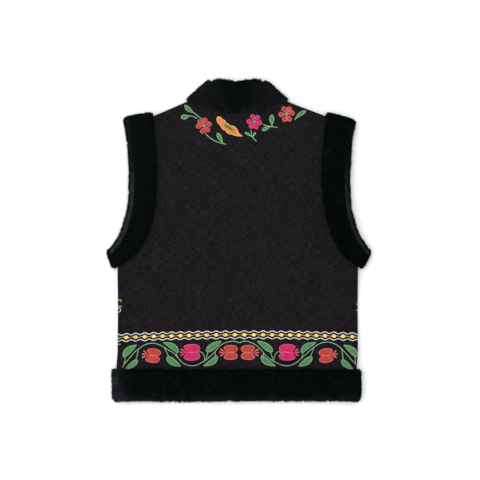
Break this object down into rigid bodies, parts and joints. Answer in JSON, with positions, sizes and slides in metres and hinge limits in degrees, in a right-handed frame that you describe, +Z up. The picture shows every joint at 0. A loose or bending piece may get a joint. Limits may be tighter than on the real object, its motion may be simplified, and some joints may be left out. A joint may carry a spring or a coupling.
{
  "type": "embroidered folk vest",
  "caption": "Sleeveless cloth vest laid flat with its back up: stand collar, armholes and hem trimmed with fur, flowers embroidered round the neck and a leaf and fruit border above the hem.",
  "frame": {"origin": "middle of the flat underside, on the surface the vest lies on", "axes": "+X across the vest to its wearer's right, +Y from the hem to the collar, +Z up, out of the back"},
  "size_m": [0.5265, 0.645, 0.0226],
  "materials": {
    "cloth": "matt plain weave",
    "fur": "short dense plush",
    "red": "satin stitch",
    "magenta": "satin stitch",
    "green": "satin stitch",
    "orange": "satin stitch",
    "yellow": "satin stitch",
    "white": "line stitch"
  },
  "bodies": {
    "root": {"back_panel": "cloth", "front_panel_left": "cloth", "front_panel_right": "cloth", "collar_fur": "fur", "armhole_fur_left": "fur", "armhole_fur_right": "fur", "hem_fur": "fur", "yoke_flower_left": "red", "yoke_flower_middle": "magenta", "yoke_flower_right": "red", "yoke_leaf_left_upper": "green", "yoke_leaf_left_lower": "green", "yoke_stem_left": "green", "yoke_sprig_side": "green", "yoke_sprig_below": "green", "yoke_leaf_right": "green", "yoke_leaf_orange": "orange", "yoke_leaf_vein": "green", "border_vine": "green", "border_fruit_outer_left": "red", "border_fruit_outer_right": "red", "border_fruit_middle_left": "magenta", "border_fruit_middle_right": "magenta", "border_fruit_inner_left": "red", "border_fruit_inner_right": "red", "border_chain": "yellow", "border_wave_upper": "white", "border_wave_lower": "white"}
  },
  "joints": []
}
